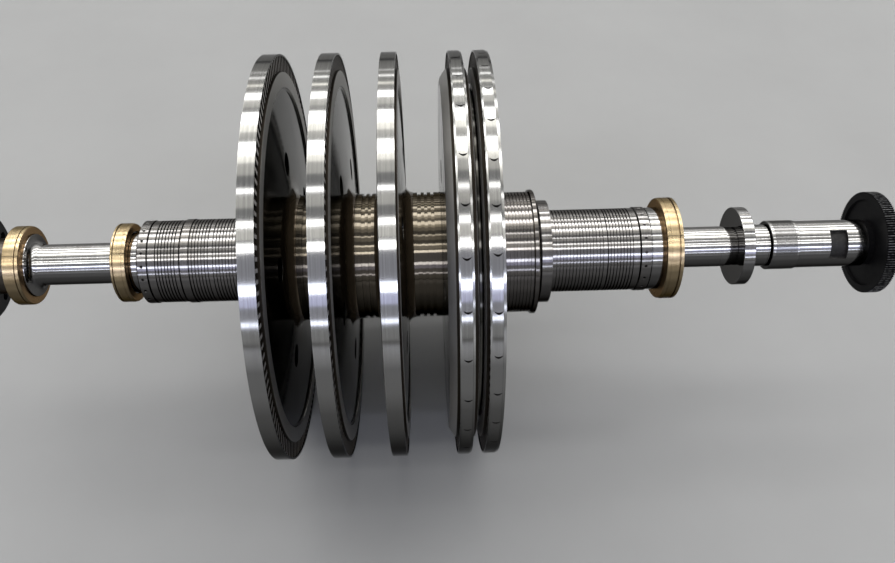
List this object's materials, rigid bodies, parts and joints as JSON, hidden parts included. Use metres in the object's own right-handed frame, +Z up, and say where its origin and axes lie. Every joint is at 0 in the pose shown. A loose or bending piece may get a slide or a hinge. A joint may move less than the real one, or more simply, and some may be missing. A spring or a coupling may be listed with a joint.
{
  "type": "steam turbine rotor",
  "caption": "Bladed steam turbine rotor on one stepped shaft, with shrouded wheels, finned gland sleeves, oil slingers, a thrust collar, a coupling flange and a toothed wheel.",
  "frame": {"origin": "on the surface that the wheel rims rest on, below the middle of the rotor's length and of its width", "axes": "+X along the shaft from the coupling flange to the toothed wheel, +Y across it, away from the side that the picture shows, +Z up"},
  "size_m": [1.852, 0.8, 0.8],
  "materials": {
    "steel": "polished",
    "wheel_steel": "polished, oily",
    "blade_steel": "satin",
    "gland_steel": "turned",
    "oiled_steel": "turned, brown with oil",
    "bronze": "polished bronze",
    "black_oxide": "black oxide, satin"
  },
  "bodies": {
    "root": {"shaft": "steel", "thrust_collar": "steel", "locking_collar": "steel", "front_sleeve": "steel", "shroud_band_1": "steel", "shroud_band_2": "steel", "shroud_band_3": "steel", "shroud_band_4": "steel", "shroud_band_5": "steel", "wheel_1": "wheel_steel", "wheel_2": "wheel_steel", "wheel_3": "wheel_steel", "control_wheel": "wheel_steel", "blade_row_1": "blade_steel", "blade_row_2": "blade_steel", "blade_row_3": "blade_steel", "blade_row_4": "blade_steel", "blade_row_5": "blade_steel", "left_balance_ring": "gland_steel", "left_outer_gland_sleeve": "gland_steel", "left_inner_gland_sleeve": "gland_steel", "right_collar": "gland_steel", "right_inner_gland_sleeve": "gland_steel", "right_outer_gland_sleeve": "gland_steel", "right_balance_ring": "gland_steel", "interstage_gland_1": "oiled_steel", "interstage_gland_2": "oiled_steel", "interstage_gland_3": "oiled_steel", "right_gland_drum": "oiled_steel", "left_outer_oil_slinger": "bronze", "left_inner_oil_slinger": "bronze", "right_oil_slinger": "bronze", "coupling_flange": "black_oxide", "toothed_wheel": "black_oxide"}
  },
  "joints": []
}
